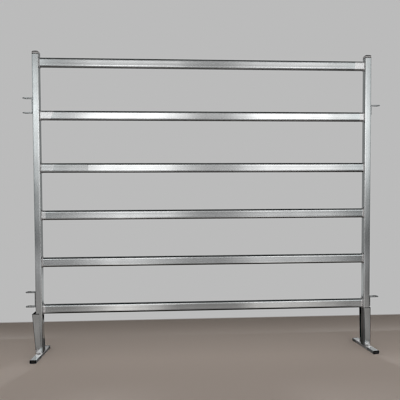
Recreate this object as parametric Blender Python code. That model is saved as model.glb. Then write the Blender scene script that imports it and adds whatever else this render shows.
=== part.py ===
"""Six-rail galvanised steel yard panel: two posts, oval rails, channel legs on foot tubes, pin brackets.

Metres, +Z up, +X along the rails, the origin on the floor midway between the posts.
"""
import math

import bmesh
import bpy
from mathutils import Matrix, Vector

# Posts
POST_SPAN = 2.100          # outer face to outer face
POST_SIDE = 0.040
POST_WALL = 0.002
POST_CORNER = 0.004
POST_LENGTH = 1.828

# Rails: the lower ones are spaced up from the bottom rail, the upper ones fill the rest evenly
RAIL_HEIGHT = 0.060
RAIL_DEPTH = 0.030
RAIL_WALL = 0.002
BOTTOM_RAIL_RISE = 0.271   # lower end of the posts to the middle of the bottom rail
TOP_RAIL_DROP = 0.047      # upper end of the posts to the middle of the top rail
LOWER_PITCH = 0.290
LOWER_SPACES = 3
UPPER_SPACES = 2

# Post caps
CAP_RIM = 0.0145           # upright edge of the head
CAP_DOME = 0.007           # rise of the dome over the rim
CAP_SHOULDER = 0.68        # share of the dome's rise on its outer slope
CAP_INSET = 0.0045         # width of each of the dome's two slopes
SKIRT_LENGTH = 0.020
SKIRT_WALL = 0.002
INNER_CORNER = 0.0004      # inside corners of cap and plug skirts

# Feet, tubes laid on the floor across the panel
FOOT_LENGTH = 0.235
FOOT_WIDTH = 0.040
FOOT_HEIGHT = 0.020
FOOT_WALL = 0.002
FOOT_CORNER = 0.003
LEFT_FOOT_TURN = math.radians(2.7)     # front end swung outwards
RIGHT_FOOT_TURN = math.radians(8.4)
LEFT_FOOT_OUT = 0.0                    # middle of the foot outwards from the middle of the post
RIGHT_FOOT_OUT = 0.004
LEFT_FOOT_BACK = -0.0045               # middle of the foot to the rear of the middle of the post
RIGHT_FOOT_BACK = 0.0038
PLUG_HEAD = 0.004
PLUG_EDGE = 0.0012
PLUG_SKIRT = 0.016

# Channel legs, standing on the feet with the front flange against the front of the post
LEG_LENGTH = 0.245
LEG_DEPTH = 0.080          # front flange to rear flange, over the outside
LEG_WALL = 0.003
LEG_BEND = 0.006           # outer radius of the folds
LEG_FLANGE_TOP = 0.043     # flange width at the top, web included
LEG_FLANGE_BOTTOM = 0.036
LEFT_LEG_LEAN = math.radians(4.4)      # top swung outwards
RIGHT_LEG_LEAN = math.radians(0.0)
LEFT_LEG_GAP = 0.0                     # lower end of the web outwards from the post
RIGHT_LEG_GAP = 0.0035

# Pin brackets, folded from plate and welded to the outer faces of the posts
BRACKET_THICKNESS = 0.005
BRACKET_WIDTH = 0.034
BRACKET_REACH = 0.064      # post face to the outer end
BRACKET_FOLD = 0.008       # outer radius of the folds
PIN_HOLE = 0.022
PIN_EDGE = 0.023           # outer end to the middle of the pin hole
U_BRACKET_HEIGHT = 0.094
L_BRACKET_HEIGHT = 0.0605
UPPER_U_DROP = 0.307       # upper end of the posts to the middle of the upper left bracket
UPPER_LUG_LIFT = 0.015     # top of the upper right lug over the middle of the bracket that it fits
LOWER_LUG_LIFT = -0.018
LUG_OVER_LEG = 0.0085      # top of the leg to the lower end of the lower right lug

# Weld beads
RAIL_WELD = 0.0025         # bead radius
BRACKET_WELD = 0.0025
LEG_WELD = 0.003

# Clearances and resolution
TOUCH = 0.0003             # gap left between pieces that touch
CORNER_STEPS = 3           # straight runs in a quarter turn of a small corner
RAIL_STEPS = 5             # straight runs in a quarter turn of a rail
HOLE_STEPS = 24
BRACKET_END_STEPS = 10     # straight runs round a bracket's outer end
BEAD_STEPS = 6             # straight runs along an open bead
SMOOTH_ANGLE = math.radians(35)        # folds sharper than this stay crisp
MERGE = 0.00002

# Values that follow from the dimensions above
POST_X = POST_SPAN / 2 - POST_SIDE / 2
POST_FACE_OUT = POST_SPAN / 2
POST_FACE_IN = POST_SPAN / 2 - POST_SIDE
POST_FOOT = FOOT_HEIGHT + TOUCH
POST_TOP = POST_FOOT + POST_LENGTH
LEG_MIDDLE = LEG_DEPTH / 2 - LEG_WALL - TOUCH - POST_SIDE / 2
LEG_TOP = FOOT_HEIGHT + TOUCH + LEG_LENGTH
PIN_OFFSET = BRACKET_REACH - PIN_EDGE
UPPER_U_MIDDLE = POST_TOP - UPPER_U_DROP
UPPER_L_BASE = UPPER_U_MIDDLE + UPPER_LUG_LIFT - L_BRACKET_HEIGHT
LOWER_L_BASE = LEG_TOP + LUG_OVER_LEG
LOWER_U_MIDDLE = LOWER_L_BASE + L_BRACKET_HEIGHT - LOWER_LUG_LIFT

STEEL = ("galvanised_steel", (0.52, 0.53, 0.54), 0.38, 0.85)
WELD = ("zinc_weld", (0.66, 0.67, 0.68), 0.55, 0.60)
PLASTIC = ("black_plastic", (0.025, 0.025, 0.027), 0.45, 0.0)
CAP_PLASTIC = ("grey_plastic", (0.10, 0.10, 0.105), 0.35, 0.0)

for old in list(bpy.data.objects):
    bpy.data.objects.remove(old, do_unlink=True)

parts = bpy.data.collections.new("yard_panel")
cutters = bpy.data.collections.new("cutters")
bpy.context.scene.collection.children.link(parts)
bpy.context.scene.collection.children.link(cutters)


def material(name, finish):
    """A Principled material of its own for one piece."""
    label, colour, roughness, metallic = finish
    mat = bpy.data.materials.new(label + "_" + name)
    mat.use_nodes = True
    shader = mat.node_tree.nodes["Principled BSDF"]
    shader.inputs["Base Color"].default_value = (*colour, 1.0)
    shader.inputs["Roughness"].default_value = roughness
    shader.inputs["Metallic"].default_value = metallic
    return mat


def add_piece(name, mesh, finish, placing=Matrix.Identity(4)):
    """Put a finished mesh into the model under its own name."""
    piece = bpy.data.objects.new(name, mesh)
    piece.matrix_world = placing
    mesh.materials.clear()
    mesh.materials.append(material(name, finish))
    mesh.shade_smooth()
    mesh.set_sharp_from_angle(angle=SMOOTH_ANGLE)
    parts.objects.link(piece)
    return piece


def rounded_rectangle(width, height, radius, steps=CORNER_STEPS):
    """Points round a rectangle with round corners, centred on the origin."""
    points = []
    for corner, (sx, sy) in enumerate(((1, 1), (-1, 1), (-1, -1), (1, -1))):
        centre = Vector((sx * (width / 2 - radius), sy * (height / 2 - radius)))
        for step in range(steps + 1):
            angle = math.pi / 2 * (corner + step / steps)
            points.append(centre + radius * Vector((math.cos(angle), math.sin(angle))))
    return points


def flat_oval(height, depth, steps=RAIL_STEPS):
    """Points round an oval tube: half circles above and below, flat sides between."""
    return rounded_rectangle(depth, height, depth / 2 - MERGE, steps)


def circle(radius, centre=(0.0, 0.0), steps=HOLE_STEPS):
    """Points round a circle."""
    turn = [2 * math.pi * step / steps for step in range(steps)]
    return [Vector((centre[0] + radius * math.cos(a), centre[1] + radius * math.sin(a))) for a in turn]


def curve_mesh(curve):
    """The closed mesh of a curve, with its caps welded on."""
    holder = bpy.data.objects.new("holder", curve)
    cutters.objects.link(holder)
    bpy.context.view_layer.update()
    evaluated = holder.evaluated_get(bpy.context.evaluated_depsgraph_get())
    mesh = bpy.data.meshes.new_from_object(evaluated)
    bpy.data.objects.remove(holder, do_unlink=True)
    bpy.data.curves.remove(curve)
    shape = bmesh.new()
    shape.from_mesh(mesh)
    bmesh.ops.remove_doubles(shape, verts=shape.verts, dist=MERGE / 2)
    bmesh.ops.recalc_face_normals(shape, faces=shape.faces)
    shape.to_mesh(mesh)
    shape.free()
    return mesh


def prism(outline, length, hole=None):
    """A solid bar with a flat outline, centred on its own Z axis; a hole outline has as many points."""
    shape = bmesh.new()
    rings = []
    for points in (outline, hole) if hole else (outline,):
        for end in (-1, 1):
            rings.append([shape.verts.new((point[0], point[1], end * length / 2)) for point in points])
    count = len(outline)
    pairs = [(rings[0], rings[1])]
    if hole:
        pairs += [(rings[1], rings[3]), (rings[3], rings[2]), (rings[2], rings[0])]
    else:
        shape.faces.new(list(reversed(rings[0])))
        shape.faces.new(rings[1])
    for near, far in pairs:
        for index in range(count):
            after = (index + 1) % count
            shape.faces.new((near[index], near[after], far[after], far[index]))
    bmesh.ops.recalc_face_normals(shape, faces=shape.faces)
    mesh = bpy.data.meshes.new("prism")
    shape.to_mesh(mesh)
    shape.free()
    return mesh


def bead(route, radius, closed):
    """A weld bead: a round bar along a route."""
    curve = bpy.data.curves.new("bead", "CURVE")
    curve.dimensions = "3D"
    curve.bevel_depth = radius
    curve.bevel_resolution = 0 if closed else 1
    curve.use_fill_caps = not closed
    spline = curve.splines.new("POLY")
    spline.points.add(len(route) - 1)
    for point, place in zip(spline.points, route):
        point.co = (*place, 1.0)
    spline.use_cyclic_u = closed
    return curve_mesh(curve)


def box_mesh(size, centre=(0.0, 0.0, 0.0)):
    """A box of the given size."""
    shape = bmesh.new()
    bmesh.ops.create_cube(shape, size=1.0)
    bmesh.ops.scale(shape, verts=shape.verts, vec=size)
    bmesh.ops.translate(shape, verts=shape.verts, vec=centre)
    mesh = bpy.data.meshes.new("box")
    shape.to_mesh(mesh)
    shape.free()
    return mesh


def combine(base, tool, operation):
    """One mesh made from two with an exact Boolean."""
    base_object = bpy.data.objects.new("base", base)
    tool_object = bpy.data.objects.new("tool", tool)
    for item in (base_object, tool_object):
        item.hide_render = True
        item.display_type = "WIRE"
        cutters.objects.link(item)
    modifier = base_object.modifiers.new("combine", "BOOLEAN")
    modifier.operation = operation
    modifier.solver = "EXACT"
    modifier.object = tool_object
    bpy.context.view_layer.update()
    evaluated = base_object.evaluated_get(bpy.context.evaluated_depsgraph_get())
    mesh = bpy.data.meshes.new_from_object(evaluated)
    for item in (base_object, tool_object):
        bpy.data.objects.remove(item, do_unlink=True)
    return mesh


def moved(mesh, placing):
    """The same mesh after a move or a turn."""
    mesh.transform(placing)
    if placing.determinant() < 0:
        mesh.flip_normals()
    return mesh


def shift(x, y, z):
    return Matrix.Translation((x, y, z))


# A prism's own Z axis turned to lie along X, with its own Y axis pointing up
ALONG_X = Matrix(((0, 0, 1, 0), (1, 0, 0, 0), (0, 1, 0, 0), (0, 0, 0, 1)))
# A prism's own Z axis turned to lie along Y, with its own Y axis pointing up
ALONG_Y = Matrix(((1, 0, 0, 0), (0, 0, -1, 0), (0, 1, 0, 0), (0, 0, 0, 1)))
MIRROR_X = Matrix.Diagonal((-1.0, 1.0, 1.0, 1.0))


def rail_heights():
    """Heights of the rails' middles above the floor, from the top rail down."""
    heights = [POST_FOOT + BOTTOM_RAIL_RISE + LOWER_PITCH * step for step in range(LOWER_SPACES + 1)]
    upper_pitch = (POST_TOP - TOP_RAIL_DROP - heights[-1]) / UPPER_SPACES
    heights += [heights[-1] + upper_pitch * (step + 1) for step in range(UPPER_SPACES)]
    return list(reversed(heights))


def build_post(name, side):
    outer = rounded_rectangle(POST_SIDE, POST_SIDE, POST_CORNER)
    inner_side = POST_SIDE - 2 * POST_WALL
    inner = rounded_rectangle(inner_side, inner_side, POST_CORNER - POST_WALL)
    mesh = prism(outer, POST_LENGTH, inner)
    add_piece(name, mesh, STEEL, shift(side * POST_X, 0.0, POST_FOOT + POST_LENGTH / 2))


def build_post_cap(name, side):
    """A pushed-in cap: a rim as wide as the post, a low dome of two slopes and a hollow skirt."""
    levels = [(0.0, TOUCH), (0.0, TOUCH + CAP_RIM)]
    levels += [(CAP_INSET * step, TOUCH + CAP_RIM + CAP_DOME * share) for step, share in ((1, CAP_SHOULDER), (2, 1.0))]
    shape = bmesh.new()
    rings = []
    for inset, height in levels:
        width = POST_SIDE - 2 * inset
        outline = rounded_rectangle(width, width, POST_CORNER)
        rings.append([shape.verts.new((point[0], point[1], height)) for point in outline])
    shape.faces.new(list(reversed(rings[0])))
    shape.faces.new(rings[-1])
    for near, far in zip(rings, rings[1:]):
        for index in range(len(near)):
            after = (index + 1) % len(near)
            shape.faces.new((near[index], near[after], far[after], far[index]))
    head = bpy.data.meshes.new("cap")
    shape.to_mesh(head)
    shape.free()
    hole = POST_SIDE - 2 * POST_WALL
    outer_side = hole - 2 * TOUCH
    inner_side = outer_side - 2 * SKIRT_WALL
    skirt = prism(rounded_rectangle(outer_side, outer_side, POST_CORNER - POST_WALL),
                  SKIRT_LENGTH + CAP_RIM / 2,
                  rounded_rectangle(inner_side, inner_side, INNER_CORNER))
    moved(skirt, shift(0.0, 0.0, (CAP_RIM / 2 - SKIRT_LENGTH) / 2))
    mesh = combine(head, skirt, "UNION")
    add_piece(name, mesh, CAP_PLASTIC, shift(side * POST_X, 0.0, POST_TOP))


def build_rail(name, height):
    outer = flat_oval(RAIL_HEIGHT, RAIL_DEPTH)
    inner = flat_oval(RAIL_HEIGHT - 2 * RAIL_WALL, RAIL_DEPTH - 2 * RAIL_WALL)
    length = 2 * (POST_FACE_IN - TOUCH)
    mesh = prism(outer, length, inner)
    add_piece(name, mesh, STEEL, shift(0.0, 0.0, height) @ ALONG_X)


def build_rail_weld(name, side, height):
    """A bead round the end of a rail, in the corner against the post."""
    offset = RAIL_WELD + TOUCH
    route = []
    for point in flat_oval(RAIL_HEIGHT + 2 * offset, RAIL_DEPTH + 2 * offset, RAIL_STEPS):
        route.append((side * (POST_FACE_IN - offset), point[0], height + point[1]))
    add_piece(name, bead(route, RAIL_WELD, True), WELD)


def leg_outline():
    """Plan of a channel open towards +X, web on the left, its web's inner face at x = 0."""
    half = LEG_DEPTH / 2
    tip = LEG_FLANGE_TOP - LEG_WALL
    points = [Vector((tip, -half)), Vector((tip, -half + LEG_WALL))]
    inner_bend = LEG_BEND - LEG_WALL
    for step in range(CORNER_STEPS + 1):
        angle = math.pi * 1.5 - math.pi / 2 * step / CORNER_STEPS
        centre = Vector((inner_bend, -half + LEG_BEND))
        points.append(centre + inner_bend * Vector((math.cos(angle), math.sin(angle))))
    for step in range(CORNER_STEPS + 1):
        angle = math.pi - math.pi / 2 * step / CORNER_STEPS
        centre = Vector((inner_bend, half - LEG_BEND))
        points.append(centre + inner_bend * Vector((math.cos(angle), math.sin(angle))))
    points += [Vector((tip, half - LEG_WALL)), Vector((tip, half))]
    for step in range(CORNER_STEPS + 1):
        angle = math.pi / 2 + math.pi / 2 * step / CORNER_STEPS
        centre = Vector((LEG_BEND - LEG_WALL, half - LEG_BEND))
        points.append(centre + LEG_BEND * Vector((math.cos(angle), math.sin(angle))))
    for step in range(CORNER_STEPS + 1):
        angle = math.pi + math.pi / 2 * step / CORNER_STEPS
        centre = Vector((LEG_BEND - LEG_WALL, -half + LEG_BEND))
        points.append(centre + LEG_BEND * Vector((math.cos(angle), math.sin(angle))))
    return points


def build_leg(name, side, lean, gap):
    """A channel round the post's lower end, its flange edges cut on a slant, its base cut level."""
    spare = LEG_FLANGE_TOP
    mesh = prism(leg_outline(), LEG_LENGTH + spare)
    moved(mesh, shift(0.0, 0.0, (LEG_LENGTH - spare) / 2))
    slant = math.atan((LEG_FLANGE_TOP - LEG_FLANGE_BOTTOM) / LEG_LENGTH)
    wedge = box_mesh((LEG_FLANGE_TOP, 2 * LEG_DEPTH, 4 * LEG_LENGTH), (LEG_FLANGE_TOP / 2, 0.0, 0.0))
    tip_top = LEG_FLANGE_TOP - LEG_WALL - TOUCH
    moved(wedge, shift(tip_top, 0.0, LEG_LENGTH) @ Matrix.Rotation(slant, 4, "Y"))
    mesh = combine(mesh, wedge, "DIFFERENCE")
    moved(mesh, Matrix.Rotation(-lean, 4, "Y"))
    floor = box_mesh((4 * LEG_DEPTH, 4 * LEG_DEPTH, LEG_LENGTH), (0.0, 0.0, -LEG_LENGTH / 2))
    mesh = combine(mesh, floor, "DIFFERENCE")
    moved(mesh, shift(-POST_FACE_OUT - TOUCH - gap, LEG_MIDDLE, FOOT_HEIGHT + TOUCH))
    if side > 0:
        moved(mesh, MIRROR_X)
    add_piece(name, mesh, STEEL)


def build_leg_weld(name, side, front, turn, out, back):
    """A bead on top of the foot along the outside of a flange, kept on the foot."""
    reach = LEG_WELD + TOUCH
    y = LEG_MIDDLE + front * (LEG_DEPTH / 2 + reach)
    z = FOOT_HEIGHT + reach
    foot_middle = POST_X + out - math.tan(turn) * (y - back)
    inner = max(POST_FACE_OUT - LEG_FLANGE_BOTTOM + LEG_BEND, foot_middle - FOOT_WIDTH / 2 + LEG_WELD)
    outer = min(POST_FACE_OUT - LEG_BEND, foot_middle + FOOT_WIDTH / 2 - LEG_WELD)
    route = [(side * (outer + (inner - outer) * step / BEAD_STEPS), y, z) for step in range(BEAD_STEPS + 1)]
    add_piece(name, bead(route, LEG_WELD, False), WELD)


def foot_placing(side, turn, out, back):
    """Where a foot tube's middle lies, and how it is turned on the floor."""
    return shift(side * (POST_X + out), back, FOOT_HEIGHT / 2) @ Matrix.Rotation(side * turn, 4, "Z")


def build_foot(name, side, turn, out, back):
    outer = rounded_rectangle(FOOT_WIDTH, FOOT_HEIGHT, FOOT_CORNER)
    inner = rounded_rectangle(FOOT_WIDTH - 2 * FOOT_WALL, FOOT_HEIGHT - 2 * FOOT_WALL, FOOT_CORNER - FOOT_WALL)
    mesh = prism(outer, FOOT_LENGTH - 2 * (PLUG_HEAD + TOUCH), inner)
    add_piece(name, mesh, STEEL, foot_placing(side, turn, out, back) @ ALONG_Y)


def build_foot_plug(name, side, front, turn, out, back):
    """A plug pushed into the end of a foot tube: a flat head and a hollow skirt."""
    head = prism(rounded_rectangle(FOOT_WIDTH, FOOT_HEIGHT, FOOT_CORNER), PLUG_HEAD)
    shape = bmesh.new()
    shape.from_mesh(head)
    outer_face = [e for e in shape.edges if all(v.co.z > 0 for v in e.verts) and len(e.link_faces) == 2
                  and abs(e.link_faces[0].normal.z - e.link_faces[1].normal.z) > 0.5]
    bmesh.ops.bevel(shape, geom=outer_face, offset=PLUG_EDGE, segments=1, affect="EDGES")
    shape.to_mesh(head)
    shape.free()
    moved(head, shift(0.0, 0.0, -PLUG_HEAD / 2))
    width = FOOT_WIDTH - 2 * (FOOT_WALL + TOUCH)
    height = FOOT_HEIGHT - 2 * (FOOT_WALL + TOUCH)
    skirt = prism(rounded_rectangle(width, height, FOOT_CORNER - FOOT_WALL),
                  PLUG_SKIRT + PLUG_HEAD / 2,
                  rounded_rectangle(width - 2 * SKIRT_WALL, height - 2 * SKIRT_WALL, INNER_CORNER))
    moved(skirt, shift(0.0, 0.0, -PLUG_HEAD - PLUG_SKIRT / 2 + PLUG_HEAD / 4))
    mesh = combine(head, skirt, "UNION")
    facing = Matrix.Identity(4) if front < 0 else Matrix.Rotation(math.pi, 4, "Z")
    place = foot_placing(side, turn, out, back) @ facing @ shift(0.0, -FOOT_LENGTH / 2, 0.0) @ ALONG_Y
    add_piece(name, mesh, PLASTIC, place)


def arc(centre, radius, start, end, steps=CORNER_STEPS):
    """Points along an arc, angles in quarter turns."""
    points = []
    for step in range(steps + 1):
        angle = math.pi / 2 * (start + (end - start) * step / steps)
        points.append(Vector((centre[0] + radius * math.cos(angle), centre[1] + radius * math.sin(angle))))
    return points


def bracket_side(height, both):
    """Side view of a bracket, x out from the post and y up from the bracket's lower end."""
    inner = BRACKET_FOLD - BRACKET_THICKNESS
    points = [Vector((BRACKET_REACH, height - BRACKET_THICKNESS)), Vector((BRACKET_REACH, height))]
    points += arc((BRACKET_FOLD, height - BRACKET_FOLD), BRACKET_FOLD, 1, 2)
    if both:
        points += arc((BRACKET_FOLD, BRACKET_FOLD), BRACKET_FOLD, 2, 3)
        points += [Vector((BRACKET_REACH, 0.0)), Vector((BRACKET_REACH, BRACKET_THICKNESS))]
        points += arc((BRACKET_FOLD, BRACKET_FOLD), inner, 3, 2)
    else:
        points += [Vector((0.0, 0.0)), Vector((BRACKET_THICKNESS, 0.0))]
    points += arc((BRACKET_FOLD, height - BRACKET_FOLD), inner, 2, 1)
    return points


def bracket_plan():
    """Top view of a bracket: straight sides, a round outer end and the pin hole."""
    half = BRACKET_WIDTH / 2
    centre = BRACKET_REACH - half
    outline = [Vector((-half, half)), Vector((-half, -half))]
    outline += arc((centre, 0.0), half, -1, 1, BRACKET_END_STEPS)
    return outline


def build_bracket(name, side, bottom, height, both):
    body = moved(prism(bracket_side(height, both), 2 * BRACKET_WIDTH), ALONG_Y)
    mesh = combine(body, prism(bracket_plan(), 4 * height), "INTERSECT")
    mesh = combine(mesh, prism(circle(PIN_HOLE / 2, (PIN_OFFSET, 0.0)), 4 * height), "DIFFERENCE")
    moved(mesh, shift(POST_FACE_OUT + TOUCH, 0.0, bottom))
    if side < 0:
        moved(mesh, MIRROR_X)
    add_piece(name, mesh, STEEL)


def build_bracket_weld(name, side, height):
    """A straight bead across the post's face along a bracket's end."""
    half = min(BRACKET_WIDTH, POST_SIDE) / 2 - POST_CORNER
    x = side * (POST_FACE_OUT + TOUCH + BRACKET_WELD)
    route = [(x, -half + 2 * half * step / BEAD_STEPS, height) for step in range(BEAD_STEPS + 1)]
    add_piece(name, bead(route, BRACKET_WELD, False), WELD)


for label, sign in (("left", -1), ("right", 1)):
    build_post(label + "_post", sign)
    build_post_cap(label + "_post_cap", sign)

for number, level in enumerate(rail_heights(), start=1):
    build_rail("rail_%d" % number, level)
    build_rail_weld("left_rail_weld_%d" % number, -1, level)
    build_rail_weld("right_rail_weld_%d" % number, 1, level)

for label, sign, lean, gap, placing in (
        ("left", -1, LEFT_LEG_LEAN, LEFT_LEG_GAP, (LEFT_FOOT_TURN, LEFT_FOOT_OUT, LEFT_FOOT_BACK)),
        ("right", 1, RIGHT_LEG_LEAN, RIGHT_LEG_GAP, (RIGHT_FOOT_TURN, RIGHT_FOOT_OUT, RIGHT_FOOT_BACK))):
    build_foot(label + "_foot_tube", sign, *placing)
    build_foot_plug(label + "_front_plug", sign, -1, *placing)
    build_foot_plug(label + "_rear_plug", sign, 1, *placing)
    build_leg(label + "_leg_channel", sign, lean, gap)
    build_leg_weld(label + "_front_leg_weld", sign, -1, *placing)
    build_leg_weld(label + "_rear_leg_weld", sign, 1, *placing)

for label, middle in (("upper", UPPER_U_MIDDLE), ("lower", LOWER_U_MIDDLE)):
    base = middle - U_BRACKET_HEIGHT / 2
    build_bracket("left_%s_bracket" % label, -1, base, U_BRACKET_HEIGHT, True)
    build_bracket_weld("left_%s_bracket_top_weld" % label, -1, base + U_BRACKET_HEIGHT + BRACKET_WELD)
    build_bracket_weld("left_%s_bracket_base_weld" % label, -1, base - BRACKET_WELD)

for label, base in (("upper", UPPER_L_BASE), ("lower", LOWER_L_BASE)):
    build_bracket("right_%s_bracket" % label, 1, base, L_BRACKET_HEIGHT, False)
    build_bracket_weld("right_%s_bracket_top_weld" % label, 1, base + L_BRACKET_HEIGHT + BRACKET_WELD)
    build_bracket_weld("right_%s_bracket_base_weld" % label, 1, base - BRACKET_WELD - TOUCH)
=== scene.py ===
"""Looks of the cattle yard panel: galvanised steel, zinc-painted welds, plastic caps and plugs."""

import math

import bmesh
import bpy
import numpy as np
from mathutils import Matrix, Vector


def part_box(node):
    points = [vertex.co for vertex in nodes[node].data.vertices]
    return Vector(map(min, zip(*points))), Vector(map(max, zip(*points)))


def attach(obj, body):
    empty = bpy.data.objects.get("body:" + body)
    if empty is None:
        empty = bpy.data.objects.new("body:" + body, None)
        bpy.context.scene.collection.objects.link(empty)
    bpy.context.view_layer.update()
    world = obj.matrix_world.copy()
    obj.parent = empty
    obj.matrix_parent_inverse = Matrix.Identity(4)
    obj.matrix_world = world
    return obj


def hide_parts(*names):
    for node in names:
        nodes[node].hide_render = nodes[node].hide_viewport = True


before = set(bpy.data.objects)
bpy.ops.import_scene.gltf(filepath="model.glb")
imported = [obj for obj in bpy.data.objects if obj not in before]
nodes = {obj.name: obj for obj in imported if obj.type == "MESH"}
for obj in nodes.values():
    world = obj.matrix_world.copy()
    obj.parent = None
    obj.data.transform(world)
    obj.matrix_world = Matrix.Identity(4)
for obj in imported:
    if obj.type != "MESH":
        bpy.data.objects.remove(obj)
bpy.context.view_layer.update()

# Camera
CAMERA_AT = Vector((-0.173, -2.587, 1.036))
YAW, PITCH, ROLL = math.radians(3.053), math.radians(-1.687), math.radians(-0.247)
LENS = 37.21
SENSOR_WIDTH = 36.0
VIEW_END = 100.0
SHARPNESS = 0.025

forward = Vector((math.sin(YAW) * math.cos(PITCH), math.cos(YAW) * math.cos(PITCH), math.sin(PITCH)))
right = Vector((math.cos(YAW), -math.sin(YAW), 0.0))
up = right.cross(forward)
right_rolled = right * math.cos(ROLL) + up * math.sin(ROLL)
up_rolled = -right * math.sin(ROLL) + up * math.cos(ROLL)
camera_data = bpy.data.cameras.new("camera")
camera_data.lens = LENS
camera_data.sensor_width = SENSOR_WIDTH
camera_data.clip_end = VIEW_END
camera = bpy.data.objects.new("camera", camera_data)
bpy.context.scene.collection.objects.link(camera)
camera.matrix_world = Matrix.Translation(CAMERA_AT) @ Matrix(
    (right_rolled, up_rolled, -forward)).transposed().to_4x4()
bpy.context.scene.camera = camera
bpy.context.scene.view_settings.view_transform = "Standard"


# Node helpers
class Shader:
    """Short-hand for building a node material."""

    def __init__(self, name):
        self.material = bpy.data.materials.new(name)
        self.material.use_nodes = True
        self.tree = self.material.node_tree
        self.tree.nodes.clear()
        self.out = self.tree.nodes.new("ShaderNodeOutputMaterial")
        self.bsdf = self.tree.nodes.new("ShaderNodeBsdfPrincipled")
        self.link(self.bsdf.outputs[0], self.out.inputs[0])

    def add(self, kind, **values):
        node = self.tree.nodes.new(kind)
        for key, value in values.items():
            setattr(node, key, value)
        return node

    def link(self, source, target):
        self.tree.links.new(source, target)

    def put(self, value, target):
        if isinstance(value, bpy.types.NodeSocket):
            self.link(value, target)
        else:
            target.default_value = value

    def place(self):
        """Position in metres, the same in every view."""
        return self.add("ShaderNodeTexCoord").outputs["Object"]

    def stretched(self, along, across_scale, along_scale):
        """Position with a scale of its own along one axis, named by its letter."""
        scale = [across_scale] * 3
        scale["XYZ".index(along)] = along_scale
        node = self.add("ShaderNodeMapping")
        self.link(self.place(), node.inputs["Vector"])
        node.inputs["Scale"].default_value = scale
        return node.outputs[0]

    def noise(self, vector, scale, detail, rough):
        node = self.add("ShaderNodeTexNoise")
        self.link(vector, node.inputs["Vector"])
        node.inputs["Scale"].default_value = scale
        node.inputs["Detail"].default_value = detail
        node.inputs["Roughness"].default_value = rough
        return node.outputs["Fac"]

    def ramp(self, value, low, high, out_low=0.0, out_high=1.0, smooth=True):
        node = self.add("ShaderNodeMapRange", interpolation_type="SMOOTHSTEP" if smooth else "LINEAR")
        self.put(value, node.inputs["Value"])
        node.inputs["From Min"].default_value = low
        node.inputs["From Max"].default_value = high
        node.inputs["To Min"].default_value = out_low
        node.inputs["To Max"].default_value = out_high
        return node.outputs["Result"]

    def math(self, operation, a, b=0.0):
        node = self.add("ShaderNodeMath", operation=operation)
        self.put(a, node.inputs[0])
        self.put(b, node.inputs[1])
        return node.outputs[0]

    def mix(self, factor, a, b):
        node = self.add("ShaderNodeMix", data_type="RGBA")
        self.put(factor, node.inputs["Factor"])
        for value, target in ((a, node.inputs["A"]), (b, node.inputs["B"])):
            self.put(value, target)
        return node.outputs["Result"]

    def split(self, vector=None):
        node = self.add("ShaderNodeSeparateXYZ")
        self.link(vector or self.place(), node.inputs[0])
        return node.outputs

    def bump(self, height, strength, distance):
        node = self.add("ShaderNodeBump")
        node.inputs["Strength"].default_value = strength
        node.inputs["Distance"].default_value = distance
        self.link(height, node.inputs["Height"])
        self.link(node.outputs[0], self.bsdf.inputs["Normal"])

    def glow(self, colour, strength=1.0):
        """Make the surface give off light instead of mirroring it."""
        node = self.add("ShaderNodeEmission")
        self.put(colour, node.inputs["Color"])
        self.put(strength, node.inputs["Strength"])
        self.link(node.outputs[0], self.out.inputs[0])
        return node


def grey(value, tint=(1.0, 1.0, 1.0)):
    return (value * tint[0], value * tint[1], value * tint[2], 1.0)


def curve(s, value, low, high, stops):
    """A function of value given by (place, result) pairs, results up to 2, straight between them."""
    ramp = s.add("ShaderNodeValToRGB")
    elements = ramp.color_ramp.elements
    while len(elements) < len(stops):
        elements.new(0.5)
    for element, (place, result) in zip(elements, stops):
        element.position = (place - low) / (high - low)
    for element, (place, result) in zip(elements, stops):
        element.color = grey(result / 2)
    s.link(s.ramp(value, low, high, smooth=False), ramp.inputs[0])
    return s.math("MULTIPLY", ramp.outputs[0], 2.0)


def middle_of(name):
    low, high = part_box(name)
    return (Vector(low) + Vector(high)) / 2


def size_of(name):
    low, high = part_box(name)
    return Vector(high) - Vector(low)


# Sizes taken from the frame
rail_low, rail_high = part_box("rail_1")
RAIL_LEFT, RAIL_RIGHT = rail_low[0], rail_high[0]
leg_low, leg_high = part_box("left_leg_channel")
LEG_BOTTOM, LEG_TOP = leg_low[2], leg_high[2]
LEG_MIDDLE = (leg_low[1] + leg_high[1]) / 2
LEG_HALF = (leg_high[1] - leg_low[1]) / 2
POST_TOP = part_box("left_post")[1][2]

# Galvanised steel: how fine each pattern is, and its share in the tone
AXES = {"X": (1.0, 0.0, 0.0), "Y": (0.0, 1.0, 0.0), "Z": (0.0, 0.0, 1.0)}
ZINC_TINT = (0.957, 1.0, 1.004)
STREAK_SCALE = 2.2
STREAKS_ACROSS, STREAKS_ALONG = 48.0, 0.8
CLOUD_SCALE = 7.0
SPANGLE_SCALE = 210.0
STREAK_SHARE, CLOUD_SHARE, SPANGLE_SHARE = 0.26, 0.42, 0.03
TONE_RANGE = (0.20, 0.54)
GLOSS_RANGE = (0.18, 0.56)
ROUGHER, SMOOTHER = 0.03, -0.02
# Slight waves in the tube, and how high they and the streaks stand in steps of the relief
WAVES_ACROSS, WAVES_ALONG = 9.0, 3.0
WAVE_LIFT, STREAK_LIFT = 36.0, 0.4
RELIEF_STEP = 0.000025
# Zinc paint, and the dark, rough zinc of painted shade
PAINT_SCALE = 130.0
PAINT_TONES = (0.90, 0.97)
PAINT_ROUGHNESS = (0.36, 0.30)
PAINTED_SHADE_TONE = 0.10
PAINTED_SHADE_ROUGHNESS = 0.5


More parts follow.
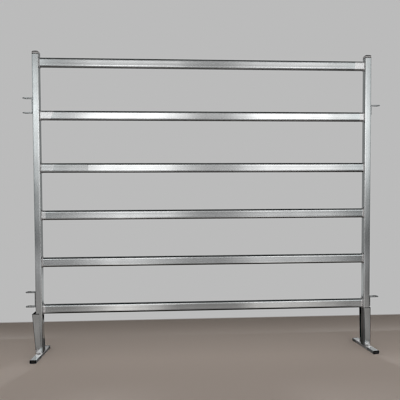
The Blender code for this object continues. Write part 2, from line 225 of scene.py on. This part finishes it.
def brushed(s, along, strength):
    """Stretch the reflections across the drawing direction of a tube."""
    cross = s.add("ShaderNodeVectorMath", operation="CROSS_PRODUCT")
    s.link(s.add("ShaderNodeNewGeometry").outputs["Normal"], cross.inputs[0])
    cross.inputs[1].default_value = AXES[along]
    s.link(cross.outputs[0], s.bsdf.inputs["Tangent"])
    s.bsdf.inputs["Anisotropic"].default_value = strength


def galvanised(name, along, dark=0.58, light=0.73, rough=0.20, anisotropy=0.55, paint=None, painted_shade=None):
    """Galvanised tube: long faint draw streaks, cloudy zinc, fine spangle, zinc paint where asked,
    and painted shade, dark rough zinc, where asked."""
    s = Shader(name)
    streaks = s.noise(s.stretched(along, STREAKS_ACROSS, STREAKS_ALONG), STREAK_SCALE, detail=2.0, rough=0.5)
    clouds = s.noise(s.place(), CLOUD_SCALE, detail=3.0, rough=0.5)
    spangle = s.add("ShaderNodeTexVoronoi", feature="F1")
    s.link(s.place(), spangle.inputs["Vector"])
    spangle.inputs["Scale"].default_value = SPANGLE_SCALE
    grain = s.split(spangle.outputs["Color"])[0]
    tone = s.math("ADD", s.math("MULTIPLY", streaks, STREAK_SHARE), s.math("MULTIPLY", clouds, CLOUD_SHARE))
    tone = s.math("ADD", tone, s.math("MULTIPLY", grain, SPANGLE_SHARE))
    colour = s.mix(s.ramp(tone, *TONE_RANGE), grey(dark, ZINC_TINT), grey(light, ZINC_TINT))
    roughness = s.ramp(tone, *GLOSS_RANGE, rough + ROUGHER, rough + SMOOTHER)
    s.bsdf.inputs["Metallic"].default_value = 1.0
    if paint:
        mask = paint(s)
        thick = s.noise(s.place(), PAINT_SCALE, detail=3.0, rough=0.6)
        paint_colour = s.mix(s.ramp(thick, 0.35, 0.6), *[grey(value) for value in PAINT_TONES])
        colour = s.mix(mask, colour, paint_colour)
        roughness = s.mix(mask, roughness, s.ramp(thick, 0.3, 0.7, *PAINT_ROUGHNESS))
    # Painted shade: the surface turns darker and rougher under this mask
    if painted_shade:
        shade_mask = painted_shade(s)
        colour = s.mix(shade_mask, colour, grey(PAINTED_SHADE_TONE))
        roughness = s.mix(shade_mask, roughness, grey(PAINTED_SHADE_ROUGHNESS))
    s.link(colour, s.bsdf.inputs["Base Color"])
    s.link(roughness, s.bsdf.inputs["Roughness"])
    brushed(s, along, anisotropy)
    waves = s.noise(s.stretched(along, WAVES_ACROSS, WAVES_ALONG), scale=1.0, detail=2.0, rough=0.4)
    relief = s.math("ADD", s.math("MULTIPLY", waves, WAVE_LIFT), s.math("MULTIPLY", streaks, STREAK_LIFT))
    s.bump(relief, strength=1.0, distance=RELIEF_STEP)
    return s.material


# Zinc paint on the tubes. Widths of the paint at the left and right end of each rail from the top down,
# and the left one's slant and cover
RAIL_PAINT = ((0.030, 0.062, 0.3, 0.05), (0.072, 0.030, 0.5, 1.0), (0.078, 0.007, 0.3, 0.35),
              (0.026, 0.008, 0.0, 0.8), (0.006, 0.007, 0.0, 1.0), (0.016, 0.012, 0.0, 1.0))
RAIL_PAINT_EDGE = 0.003
LEG_PAINT_HEIGHT = 0.020
LEG_PAINT_EDGE = 0.006
FOOT_PAINT_WIDTH = 0.018
FOOT_PAINT_EDGE = 0.008
# How fine the paint's edges stray, and how far in metres
RAIL_STRAY = (90.0, 0.010)
LOW_STRAY = (80.0, 0.030)


def ragged(s, scale, reach):
    """How far an uneven paint edge strays at each place."""
    uneven = s.noise(s.place(), scale, detail=3.0, rough=0.6)
    return s.math("MULTIPLY", s.math("SUBTRACT", uneven, 0.5), reach)


def rail_paint(middle, left_width, right_width, slant, cover):
    """Zinc paint brushed over the last stretch of a rail at each end; slant widens the left one upwards,
    and cover thins it."""
    left_edge = RAIL_LEFT + left_width
    right_edge = RAIL_RIGHT - right_width

    def mask(s):
        place = s.split()
        x = s.math("ADD", place[0], ragged(s, *RAIL_STRAY))
        drift = s.math("MULTIPLY", s.math("SUBTRACT", place[2], middle), slant)
        left_paint = s.ramp(s.math("SUBTRACT", x, drift), left_edge, left_edge + RAIL_PAINT_EDGE, cover, 0.0)
        right_paint = s.ramp(x, right_edge - RAIL_PAINT_EDGE, right_edge)
        return s.math("MAXIMUM", left_paint, right_paint)
    return mask


def leg_paint(s):
    """Zinc paint over the lower end of a leg."""
    height = LEG_BOTTOM + LEG_PAINT_HEIGHT
    uneven = s.math("ADD", s.split()[2], ragged(s, *LOW_STRAY))
    return s.ramp(uneven, height, height + LEG_PAINT_EDGE, 1.0, 0.0)


def foot_paint(s):
    """Zinc paint round the leg on top of the foot."""
    width = LEG_HALF + FOOT_PAINT_WIDTH
    reach = s.math("ABSOLUTE", s.math("SUBTRACT", s.split()[1], LEG_MIDDLE))
    return s.ramp(s.math("ADD", reach, ragged(s, *LOW_STRAY)), width, width + FOOT_PAINT_EDGE, 1.0, 0.0)


# Painted shade and a painted reflection: a shadow line at the top of a leg, shade on the rails' undersides
# and on the right post's foot, and a darker reflection on one rail. Where each lies, and how dark it is.
# The undersides' shade is told by how far the surface faces down, and the post's shade fades in across the
# middle of the panel, so that the left post has none.
LEG_SHADOW_WIDTH, LEG_SHADOW_FADE, LEG_SHADOW_DARKNESS = 0.006, 0.001, 0.80
UNDERSIDE_FROM, UNDERSIDE_TO, UNDERSIDE_SHADE = -0.65, -0.15, 0.70
POST_SHADE_FADE, POST_SHADE_DARKNESS = 0.010, 0.65
MIDDLE_FADE = (0.0, 0.1)
REFLECTION_BAND_RAIL = 3
REFLECTION_BAND_FROM, REFLECTION_BAND_TO = RAIL_LEFT + 0.150, RAIL_LEFT + 0.286
REFLECTION_BAND_EDGE, REFLECTION_BAND_DARKNESS = 0.004, 0.24


def leg_top_painted_shadow(s):
    """Painted shadow line along the upper edge of a leg."""
    height = LEG_TOP - LEG_SHADOW_WIDTH
    return s.ramp(s.split()[2], height, height + LEG_SHADOW_FADE, 0.0, LEG_SHADOW_DARKNESS)


def rail_underside_painted_shade(s):
    """Painted shade on the rounded lower side of a rail, darker and rougher than the rest."""
    normal = s.add("ShaderNodeNewGeometry").outputs["Normal"]
    return s.ramp(s.split(normal)[2], UNDERSIDE_FROM, UNDERSIDE_TO, UNDERSIDE_SHADE, 0.0)


def underside_shade_and_reflection_band(s):
    """Painted shade on the lower side, and a painted reflection: a darker stretch near a rail's left end
    that stops at a sharp edge.
    """
    x = s.split()[0]
    reflection_band = s.math("MULTIPLY", s.ramp(x, REFLECTION_BAND_FROM, REFLECTION_BAND_TO, 0.0, REFLECTION_BAND_DARKNESS),
                    s.ramp(x, REFLECTION_BAND_TO, REFLECTION_BAND_TO + REFLECTION_BAND_EDGE, 1.0, 0.0))
    return s.math("MAXIMUM", rail_underside_painted_shade(s), reflection_band)


def post_foot_painted_shade(s):
    """Painted shade on the lower end of the right post, between the flanges of its leg."""
    place = s.split()
    low = s.ramp(place[2], LEG_TOP - POST_SHADE_FADE, LEG_TOP, POST_SHADE_DARKNESS, 0.0)
    return s.math("MULTIPLY", low, s.ramp(place[0], *MIDDLE_FADE))


def weld_material():
    """Blotchy zinc paint over a weld bead."""
    s = Shader("zinc_painted_weld")
    blotch = s.noise(s.place(), scale=160.0, detail=4.0, rough=0.6)
    s.link(s.mix(s.ramp(blotch, 0.35, 0.65), grey(0.62), grey(0.88)), s.bsdf.inputs["Base Color"])
    s.bsdf.inputs["Metallic"].default_value = 0.9
    s.link(s.ramp(blotch, 0.3, 0.7, 0.55, 0.42), s.bsdf.inputs["Roughness"])
    s.bump(s.noise(s.place(), scale=420.0, detail=3.0, rough=0.5), strength=0.4, distance=0.0003)
    return s.material


# Painted reflection: a cap's sides are painted much lighter between these heights, a sheen on the glossy
# rim; the strip below keeps the dark tone as a painted shadow line where the cap meets the post
SHEEN_BAND_LOW, SHEEN_BAND_HIGH = POST_TOP + 0.0040, POST_TOP + 0.0135
SHEEN_BAND_EDGE = 0.002
SHEEN_BAND_TONE = 0.55
WEAR_GAIN, WEAR_LIFT = 1.4, 0.008


def plastic_material(name, value, rough, bump, painted_rim_sheen=False):
    """Moulded plastic, a little lighter where scuffed; where asked, a much lighter band on a cap's sides is
    a painted reflection.
    """
    s = Shader(name)
    fine = s.noise(s.place(), scale=900.0, detail=2.0, rough=0.5)
    wear = s.noise(s.place(), scale=45.0, detail=4.0, rough=0.6)
    colour = s.mix(s.ramp(wear, 0.4, 0.7), grey(value), grey(value * WEAR_GAIN + WEAR_LIFT))
    # Painted reflection: a much lighter band on a cap's sides
    if painted_rim_sheen:
        z = s.split()[2]
        sheen_band = s.math("MULTIPLY", s.ramp(z, SHEEN_BAND_LOW, SHEEN_BAND_LOW + SHEEN_BAND_EDGE),
                        s.ramp(z, SHEEN_BAND_HIGH - SHEEN_BAND_EDGE, SHEEN_BAND_HIGH, 1.0, 0.0))
        sheen_colour = s.mix(s.ramp(wear, 0.3, 0.7), grey(SHEEN_BAND_TONE), grey(SHEEN_BAND_TONE * 1.2))
        colour = s.mix(sheen_band, colour, sheen_colour)
    s.link(colour, s.bsdf.inputs["Base Color"])
    s.link(s.ramp(wear, 0.3, 0.7, rough, rough + 0.10), s.bsdf.inputs["Roughness"])
    s.bump(fine, bump, distance=0.0001)
    return s.material


weld_paint = weld_material()
cap_plastic = plastic_material("grey_cap_plastic", value=0.10, rough=0.22, bump=0.05, painted_rim_sheen=True)
plug_plastic = plastic_material("black_plug_plastic", value=0.012, rough=0.40, bump=0.15)
steel_foot = galvanised("galvanised_foot", "Y", paint=foot_paint)
# The post, the legs and the rails get painted shade, and the third rail a painted reflection as well
steel_post = galvanised("galvanised_post", "Z", painted_shade=post_foot_painted_shade)
steel_leg = galvanised("galvanised_leg", "Z", paint=leg_paint, painted_shade=leg_top_painted_shadow)
steel_plate = galvanised("galvanised_plate", "Y", dark=0.34, light=0.48, rough=0.30, anisotropy=0.0)
steel_rails = []
for number, widths in enumerate(RAIL_PAINT, start=1):
    height = middle_of("rail_%d" % number).z
    steel_rails.append(galvanised("galvanised_rail_%d" % number, "X", paint=rail_paint(height, *widths),
                                  painted_shade=underside_shade_and_reflection_band if number == REFLECTION_BAND_RAIL else rail_underside_painted_shade))


# Pieces
def dress(node, mesh, material):
    """Put a finished mesh in place of a node of the frame."""
    mesh.materials.clear()
    mesh.materials.append(material)
    piece = bpy.data.objects.new(node + "_finished", mesh)
    bpy.context.scene.collection.objects.link(piece)
    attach(piece, "root")
    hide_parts(node)
    return piece


def smooth_mesh(shape, name, angle=40.0):
    """A mesh from a bmesh, smooth except over sharp edges."""
    bmesh.ops.recalc_face_normals(shape, faces=shape.faces)
    mesh = bpy.data.meshes.new(name)
    shape.to_mesh(mesh)
    shape.free()
    mesh.shade_smooth()
    mesh.set_sharp_from_angle(angle=math.radians(angle))
    return mesh


def corner_arc(centre, radius, start, steps):
    """Points over a quarter turn, start in quarter turns."""
    turns = [math.pi / 2 * (start + step / steps) for step in range(steps + 1)]
    return [(centre[0] + radius * math.cos(a), centre[1] + radius * math.sin(a)) for a in turns]


FLAT_STEPS = 6
CORNERS = ((1, 1), (-1, 1), (-1, -1), (1, -1))


def soft_rectangle(width, height, radius, swell, steps):
    """Points round a rectangle with round corners whose sides swell out, or sink in, by a little."""
    half = (width / 2 - max(swell, 0.0), height / 2 - max(swell, 0.0))
    centres = [(sx * (half[0] - radius), sy * (half[1] - radius)) for sx, sy in CORNERS]
    points = []
    for corner, centre in enumerate(centres):
        points += corner_arc(centre, radius, corner, steps)
        after = centres[(corner + 1) % len(centres)]
        angle = math.pi / 2 * (corner + 1)
        outward = (math.cos(angle), math.sin(angle))
        for step in range(1, FLAT_STEPS):
            share = step / FLAT_STEPS
            lift = radius + swell * 4 * share * (1 - share)
            points.append(tuple(centre[axis] + (after[axis] - centre[axis]) * share + outward[axis] * lift
                                for axis in (0, 1)))
    return points


def tube_mesh(name, outer, inner, length, place):
    """A hollow tube of two outlines; place turns (across, up, along) into a point."""
    shape = bmesh.new()
    rings = []
    start, end = -length / 2, length / 2
    for section, station in ((outer, start), (outer, end), (inner, end), (inner, start)):
        rings.append([shape.verts.new(place(a, b, station)) for a, b in section])
    for near, far in zip(rings, rings[1:] + rings[:1]):
        for index in range(len(outer)):
            after = (index + 1) % len(outer)
            shape.faces.new((near[index], near[after], far[after], far[index]))
    return smooth_mesh(shape, name)


# Tubes. The flat sides of the rails are rolled in a little, those of the posts swell a little, and the
# round sides of a rail fall short of a full half circle by a little.
TUBE_WALL = 0.002
RAIL_DISH = -0.00020
RAIL_ROUND_SHORT = 0.00005
RAIL_CORNER_STEPS = 14
POST_SWELL = 0.00015
POST_CORNER = 0.004
POST_CORNER_STEPS = 7

for number, material in enumerate(steel_rails, start=1):
    node = "rail_%d" % number
    middle, size = middle_of(node), size_of(node)
    sections = [soft_rectangle(size.y - 2 * inset, size.z - 2 * inset, size.y / 2 - inset - RAIL_ROUND_SHORT,
                               RAIL_DISH, RAIL_CORNER_STEPS) for inset in (0.0, TUBE_WALL)]
    mesh = tube_mesh(node, *sections, size.x, lambda a, b, s, m=middle: (m.x + s, m.y + a, m.z + b))
    dress(node, mesh, material)

for side in ("left", "right"):
    node = side + "_post"
    middle, size = middle_of(node), size_of(node)
    sections = [soft_rectangle(size.x - 2 * inset, size.y - 2 * inset, POST_CORNER - inset, POST_SWELL,
                               POST_CORNER_STEPS) for inset in (0.0, TUBE_WALL)]
    mesh = tube_mesh(node, *sections, size.z, lambda a, b, s, m=middle: (m.x + a, m.y + b, m.z + s))
    dress(node, mesh, steel_post)

# Folded, moulded and cut pieces. Edges that turn by more than an angle are rounded off.
SOFT_FROM = math.radians(32.0)
SOFT_STEPS = 2
FLAT_WITHIN = math.radians(1.0)
SAME_POINT = 0.00001
CAP_SOFT, PLUG_SOFT, FOOT_SOFT, LEG_SOFT, PLATE_SOFT = 0.0009, 0.0004, 0.0003, 0.0007, 0.0009


def softened(node, material, width):
    """The node's own shape with its sharp edges rounded off."""
    shape = bmesh.new()
    shape.from_mesh(nodes[node].data)
    shape.transform(nodes[node].matrix_world)
    bmesh.ops.remove_doubles(shape, verts=shape.verts, dist=SAME_POINT)
    bmesh.ops.dissolve_limit(shape, angle_limit=FLAT_WITHIN, verts=shape.verts, edges=shape.edges)
    sharp = [e for e in shape.edges if len(e.link_faces) == 2 and e.calc_face_angle() > SOFT_FROM]
    bmesh.ops.bevel(shape, geom=sharp, offset=width, segments=SOFT_STEPS, profile=0.5, affect="EDGES",
                    clamp_overlap=True)
    piece = dress(node, smooth_mesh(shape, node, angle=50.0), material)
    weighted = piece.modifiers.new("even_normals", "WEIGHTED_NORMAL")
    weighted.keep_sharp = True


for side in ("left", "right"):
    softened(side + "_post_cap", cap_plastic, CAP_SOFT)
    softened(side + "_foot_tube", steel_foot, FOOT_SOFT)
    for end in ("front", "rear"):
        softened("%s_%s_plug" % (side, end), plug_plastic, PLUG_SOFT)
    softened(side + "_leg_channel", steel_leg, LEG_SOFT)
    for level in ("upper", "lower"):
        softened("%s_%s_bracket" % (side, level), steel_plate, PLATE_SOFT)

# Weld beads
RIPPLE_PITCH = 0.0028
RIPPLE_STEPS = 3
RIPPLE_LEAST, RIPPLE_DEPTH, RIPPLE_UNEVEN = 0.84, 0.13, 0.03
BEAD_SIDES = 8
BEAD_TIP = 0.2
rng = np.random.default_rng(7)


def ripple(place):
    """Share of the bead's full radius along a bead: overlapping ripples, a little uneven."""
    phase = place / RIPPLE_PITCH
    return RIPPLE_LEAST + RIPPLE_DEPTH * abs(math.cos(math.pi * phase)) + RIPPLE_UNEVEN * rng.random()


def tip_share(index, count):
    """Share of the bead's full radius near the round tips of an open bead."""
    off_middle = 2 * index / (count - 1) - 1
    return math.sqrt(max(BEAD_TIP ** 2, 1 - off_middle ** 8))


def ripple_count(length):
    return RIPPLE_STEPS * round(length / RIPPLE_PITCH)


def bead_mesh(name, centres, across, radius, closed):
    """A rippled bead: rings round a route, each spanned by two directions."""
    shape = bmesh.new()
    rings = []
    travelled = 0.0
    turns = [2 * math.pi * k / BEAD_SIDES for k in range(BEAD_SIDES)]
    for index, (centre, (first, second)) in enumerate(zip(centres, across)):
        if index:
            travelled += (centre - centres[index - 1]).length
        share = 1.0 if closed else tip_share(index, len(centres))
        size = radius * ripple(travelled) * share
        rings.append([shape.verts.new(centre + size * (math.cos(a) * first + math.sin(a) * second))
                      for a in turns])
    for near, far in zip(rings, rings[1:] + (rings[:1] if closed else [])):
        for k in range(BEAD_SIDES):
            after = (k + 1) % BEAD_SIDES
            shape.faces.new((near[k], near[after], far[after], far[k]))
    if not closed:
        shape.faces.new(rings[0])
        shape.faces.new(rings[-1])
    return smooth_mesh(shape, name, angle=70.0)


def round_rail(place, flat, radius):
    """Offset from the middle, and outward direction, at a distance along the outline of a rail: two half
    circles and two straight sides, each twice flat long."""
    half_turn = math.pi * radius
    if place < half_turn:
        a = place / radius
        outward = Vector((0, math.cos(a), math.sin(a)))
        return Vector((0, 0, flat)) + radius * outward, outward
    place -= half_turn
    if place < 2 * flat:
        return Vector((0, -radius, flat - place)), Vector((0, -1, 0))
    place -= 2 * flat
    if place < half_turn:
        a = math.pi + place / radius
        outward = Vector((0, math.cos(a), math.sin(a)))
        return radius * outward - Vector((0, 0, flat)), outward
    place -= half_turn
    return Vector((0, radius, place - flat)), Vector((0, 1, 0))


def ring_bead(node):
    """A bead round the end of a rail."""
    middle, size = middle_of(node), size_of(node)
    bead_radius = size.x / 2
    radius = size.y / 2 - bead_radius
    flat = size.z / 2 - bead_radius - radius
    length = 4 * flat + 2 * math.pi * radius
    count = ripple_count(length)
    centres, across = [], []
    for index in range(count):
        offset, outward = round_rail(length * index / count, flat, radius)
        centres.append(middle + offset)
        across.append((outward, Vector((1, 0, 0))))
    dress(node, bead_mesh(node, centres, across, bead_radius, True), weld_paint)


def straight_bead(node):
    """A bead along the longest side of its node's box."""
    middle, size = middle_of(node), size_of(node)
    longest = max(range(3), key=lambda axis: size[axis])
    along, first = Vector((0, 0, 0)), Vector((0, 0, 0))
    along[longest] = 1.0
    first[(longest + 1) % 3] = 1.0
    count = ripple_count(size[longest])
    stations = [size[longest] * (index / (count - 1) - 0.5) for index in range(count)]
    centres = [middle + along * station for station in stations]
    across = [(first, along.cross(first))] * count
    dress(node, bead_mesh(node, centres, across, min(size) / 2, False), weld_paint)


for node in sorted(nodes):
    if "rail_weld" in node:
        ring_bead(node)
    elif "weld" in node:
        straight_bead(node)


# Stage
def stage_plane(name, corners, material):
    mesh = bpy.data.meshes.new(name)
    mesh.from_pydata(corners, [], [(0, 1, 2, 3)])
    plane = bpy.data.objects.new(name, mesh)
    mesh.materials.append(material)
    bpy.context.scene.collection.objects.link(plane)
    return plane


def only_mirrored(plane):
    """Leave a plane to the reflections, out of the picture, its soft light and its shadows."""
    plane.visible_camera = False
    plane.visible_diffuse = False
    plane.visible_shadow = False


def lying(half_width, near, far, height=0.0):
    """Corners of a level rectangle."""
    return [(-half_width, near, height), (half_width, near, height),
            (half_width, far, height), (-half_width, far, height)]


def across_view(left_side, right_side, y, top):
    """Corners of an upright rectangle on the floor that runs from left to right."""
    return [(left_side, y, 0), (right_side, y, 0), (right_side, y, top), (left_side, y, top)]


def along_view(x, near, far, top):
    """Corners of an upright rectangle on the floor that runs from near to far."""
    return [(x, near, 0), (x, far, 0), (x, far, top), (x, near, top)]


# Backdrop and floor. The floor's tone goes by its distance along the view; it carries painted light,
# brightest just in front of the object and darker towards the camera and the backdrop.
BACKDROP = 0.497
FLOOR_HALF = 9.0
FLOOR_TINT = (1.155, 0.985, 0.86)
FLOOR_TONE_AND_PAINTED_LIGHT = ((-1.4, 0.63), (-0.7, 0.74), (-0.1, 0.90), (0.3, 0.76), (0.62, 0.58))
FLOOR_ROUGHNESS = 0.24
FLOOR_ENDS = (0.64, 0.68)


def floor_material():
    """Pale smooth floor with painted light, brightest just in front of the object and darker towards the
    camera and the backdrop, that turns into the backdrop behind the object.
    """
    s = Shader("floor")
    y = s.split()[1]
    tone = curve(s, y, -FLOOR_HALF, FLOOR_HALF, FLOOR_TONE_AND_PAINTED_LIGHT)
    s.link(s.mix(tone, grey(0.0), grey(1.0, FLOOR_TINT)), s.bsdf.inputs["Base Color"])
    s.bsdf.inputs["Roughness"].default_value = FLOOR_ROUGHNESS
    backdrop = s.glow(grey(BACKDROP))
    # The blend of the two takes the glow's place
    blend = s.add("ShaderNodeMixShader")
    s.link(s.ramp(y, *FLOOR_ENDS), blend.inputs[0])
    s.link(s.bsdf.outputs[0], blend.inputs[1])
    s.link(backdrop.outputs[0], blend.inputs[2])
    s.link(blend.outputs[0], s.out.inputs[0])
    return s.material


# Brightness of the lit wall opposite, by height and across, as the tubes mirror it
WALL_AT = -5.0
WALL_TOP = 5.0
WALL_HALF = 7.0
PLAIN_BY_HEIGHT = ((0.0, 0.06), (0.25, 0.12), (0.50, 0.55), (0.65, 0.46), (0.80, 0.35), (1.02, 0.34),
                   (1.40, 0.56), (2.40, 0.58), (3.30, 0.37), (4.2, 0.24))
PLAIN_ACROSS = ((-4.2, 0.55), (-3.2, 0.80), (-2.62, 0.80), (-2.45, 1.0), (2.95, 1.0), (3.15, 0.64),
                (3.6, 0.64), (4.6, 0.5))
# Each column of light in the wall: brightness across, and its strength by height
WALL_COLUMNS = (
    (((-2.06, 0.0), (-1.70, 1.0), (-0.24, 1.0), (0.05, 0.0)),
     ((0.10, 0.10), (0.30, 0.45), (0.60, 0.66), (1.00, 0.75), (1.40, 1.04), (1.90, 1.45), (2.60, 1.50),
      (2.90, 0.75), (3.30, 0.44), (4.0, 0.0))),
    (((0.86, 0.0), (1.24, 1.0), (2.62, 1.0), (3.00, 0.1), (3.05, 0.0)),
     ((0.10, 0.00), (0.30, 0.15), (0.60, 0.32), (1.00, 0.55), (1.40, 0.90), (1.90, 1.42), (2.60, 1.45),
      (2.90, 0.80), (3.30, 0.50), (4.0, 0.0))),
    (((-3.20, 0.15), (-2.82, 1.0), (-2.62, 1.0), (-2.48, 0.0)),
     ((1.00, 0.00), (1.12, 0.35), (1.34, 0.70), (1.87, 1.05), (2.05, 1.45), (2.60, 2.0), (2.90, 1.40),
      (3.30, 0.95), (4.2, 0.3))),
    (((2.98, 0.0), (3.08, 1.0), (3.20, 0.9), (3.70, 0.2)),
     ((0.95, 0.00), (1.12, 0.70), (1.34, 1.00), (1.87, 0.95), (2.22, 1.20), (2.75, 1.20), (3.30, 1.50),
      (4.0, 0.5))),
)
# The rails mirror the wall this far to either side of a middle line, and the posts what lies beyond
RAILS_MIDDLE = 0.27
RAILS_HALF = 2.85
RAILS_EDGE = 0.2
WALL_COLOUR = (1.03, 1.0, 1.0, 1.0)
WALL_COLOUR_BY_POSTS = (0.97, 1.0, 1.01, 1.0)

# Brightness of the floor as the tubes mirror it, by distance and across. Across is counted in widths
# that shrink towards the object.
GLOW_NEAR, GLOW_FAR = 0.30, -4.9
GLOW_HEIGHT = 0.0015
GLOW_PLAIN = ((-4.6, 0.14), (-3.7, 0.56), (-3.0, 0.54), (-2.2, 0.30), (-1.0, 0.30), (-0.6, 0.18),
              (-0.25, 0.07))
GLOW_ACROSS = ((-3.4, 0.9), (-2.4, 1.0), (2.95, 1.0), (3.15, 0.46), (4.0, 0.46))
GLOW_WIDTH, GLOW_WIDENING = 0.341, -0.1318
# Each streak of light on the floor, the last two for the legs: brightness across, and its strength by
# distance
GLOW_COLUMNS = (
    (((-2.25, 0.0), (-1.95, 0.25), (-1.65, 0.75), (-1.38, 1.0), (-1.05, 0.85), (-0.75, 0.50), (-0.50, 0.1),
      (-0.3, 0.0)),
     ((-4.6, 0.45), (-3.3, 0.55), (-1.5, 0.68), (-0.9, 0.78), (-0.4, 0.0))),
    (((0.75, 0.0), (1.12, 0.90), (1.35, 1.0), (1.70, 0.80), (2.30, 0.58), (2.90, 0.0)),
     ((-4.6, 0.36), (-3.3, 0.46), (-1.5, 0.52), (-0.9, 0.62), (-0.4, 0.0))),
    (((-3.40, 0.0), (-3.20, 1.0), (-2.84, 1.0), (-2.76, 0.0)),
     ((-1.5, 0.0), (-1.0, 0.05), (-0.7, 0.17), (-0.35, 0.21), (-0.2, 0.22), (-0.1, 0.08), (0.0, 0.0))),
    (((2.86, 0.0), (2.95, 1.0), (3.35, 1.0), (3.60, 0.0)),
     ((-1.5, 0.0), (-1.2, 0.09), (-0.7, 0.20), (-0.35, 0.27), (-0.2, 0.28), (-0.1, 0.10), (0.0, 0.0))),
)
# The glow's colour changes between these distances
GLOW_COLOUR_TURN = (-2.5, -0.8)
GLOW_COLOUR_FAR = (1.025, 1.0, 1.01, 1.0)
GLOW_COLOUR_NEAR = (1.065, 1.0, 0.965, 1.0)


def brightness(s, across, along, low, high, plain, columns):
    """Sum of a plain light and columns in it, each the product of a curve across and one along."""
    def product(across_stops, along_stops):
        return s.math("MULTIPLY", curve(s, along, low, high, along_stops),
                      curve(s, across, -WALL_HALF, WALL_HALF, across_stops))
    total = product(*plain)
    for column in columns:
        total = s.math("ADD", total, product(*column))
    return total


def light_wall():
    """The lit wall opposite the object: a large soft light with brighter columns in it."""
    s = Shader("light_wall")
    place = s.split()
    total = brightness(s, place[0], place[2], 0.0, WALL_TOP, (PLAIN_ACROSS, PLAIN_BY_HEIGHT), WALL_COLUMNS)
    off_middle = s.math("ABSOLUTE", s.math("SUBTRACT", place[0], RAILS_MIDDLE))
    by_posts = s.ramp(off_middle, RAILS_HALF - RAILS_EDGE, RAILS_HALF)
    s.glow(s.mix(by_posts, WALL_COLOUR, WALL_COLOUR_BY_POSTS), total)
    plane = stage_plane("light_wall", across_view(-WALL_HALF, WALL_HALF, WALL_AT, WALL_TOP), s.material)
    plane.visible_camera = False


def floor_glow():
    """Window light lying on the polished floor, which only the reflections see."""
    s = Shader("floor_glow")
    place = s.split()
    width = s.math("ADD", s.math("MULTIPLY", place[1], GLOW_WIDENING), GLOW_WIDTH)
    scaled = s.math("DIVIDE", place[0], width)
    total = brightness(s, scaled, place[1], GLOW_FAR, GLOW_NEAR, (GLOW_ACROSS, GLOW_PLAIN), GLOW_COLUMNS)
    nearness = s.ramp(place[1], *GLOW_COLOUR_TURN)
    s.glow(s.mix(nearness, GLOW_COLOUR_FAR, GLOW_COLOUR_NEAR), total)
    only_mirrored(stage_plane("floor_glow", lying(WALL_HALF, GLOW_FAR, GLOW_NEAR, GLOW_HEIGHT), s.material))


# Strips that only the reflections see: a dark skirting behind the object, and darker greys than the
# backdrop beside and behind it
SKIRTING_AT, SKIRTING_TOP, SKIRTING_TONE, SKIRTING_ROUGHNESS = 0.70, 0.14, 0.02, 0.8
SIDE_AT, SIDE_NEAR, SIDE_FAR, SIDE_TOP, SIDE_TONE = 6.0, -4.9, 0.6, 5.0, 0.30
BACK_AT, BACK_TOP = 2.5, 3.4
BACK_SHADES = (("shade_back_left", -1.8, -0.2, 0.24), ("shade_back_right", -0.2, 1.4, 0.30))


def skirting():
    s = Shader("skirting")
    s.bsdf.inputs["Base Color"].default_value = grey(SKIRTING_TONE)
    s.bsdf.inputs["Roughness"].default_value = SKIRTING_ROUGHNESS
    only_mirrored(stage_plane("skirting", across_view(-WALL_HALF, WALL_HALF, SKIRTING_AT, SKIRTING_TOP),
                              s.material))


def shade(name, corners, tone):
    s = Shader(name)
    s.glow(grey(tone))
    only_mirrored(stage_plane(name, corners, s.material))


stage_plane("floor", lying(FLOOR_HALF, -FLOOR_HALF, FLOOR_HALF), floor_material())
light_wall()
floor_glow()
skirting()
shade("shade_left", along_view(-SIDE_AT, SIDE_NEAR, SIDE_FAR, SIDE_TOP), SIDE_TONE)
shade("shade_right", along_view(SIDE_AT, SIDE_NEAR, SIDE_FAR, SIDE_TOP), SIDE_TONE)
for name, left_side, right_side, tone in BACK_SHADES:
    shade(name, across_view(left_side, right_side, BACK_AT, BACK_TOP), tone)

# Surroundings: even grey up to a height, much darker overhead
OVERHEAD_FROM, OVERHEAD_TO = 0.55, 0.80
OVERHEAD_TONE = 0.16 * BACKDROP

world = bpy.data.worlds.new("studio")
world.use_nodes = True
bpy.context.scene.world = world
tree = world.node_tree
background = tree.nodes["Background"]
coords = tree.nodes.new("ShaderNodeTexCoord")
parts = tree.nodes.new("ShaderNodeSeparateXYZ")
tree.links.new(coords.outputs["Generated"], parts.inputs[0])
overhead = tree.nodes.new("ShaderNodeMapRange")
overhead.interpolation_type = "SMOOTHSTEP"
tree.links.new(parts.outputs["Z"], overhead.inputs["Value"])
for key, value in (("From Min", OVERHEAD_FROM), ("From Max", OVERHEAD_TO), ("To Min", BACKDROP),
                   ("To Max", OVERHEAD_TONE)):
    overhead.inputs[key].default_value = value
tree.links.new(overhead.outputs["Result"], background.inputs["Color"])
background.inputs["Strength"].default_value = 1.0

# A camera's clean-up and mild sharpening
scene = bpy.context.scene
scene.use_nodes = True
steps = scene.node_tree.nodes
steps.clear()
picture = steps.new("CompositorNodeRLayers")
clean = steps.new("CompositorNodeDenoise")
crisp = steps.new("CompositorNodeFilter")
crisp.filter_type = "SHARPEN"
crisp.inputs["Fac"].default_value = SHARPNESS
result = steps.new("CompositorNodeComposite")
for source, target in ((picture, clean), (clean, crisp), (crisp, result)):
    scene.node_tree.links.new(source.outputs["Image"], target.inputs["Image"])
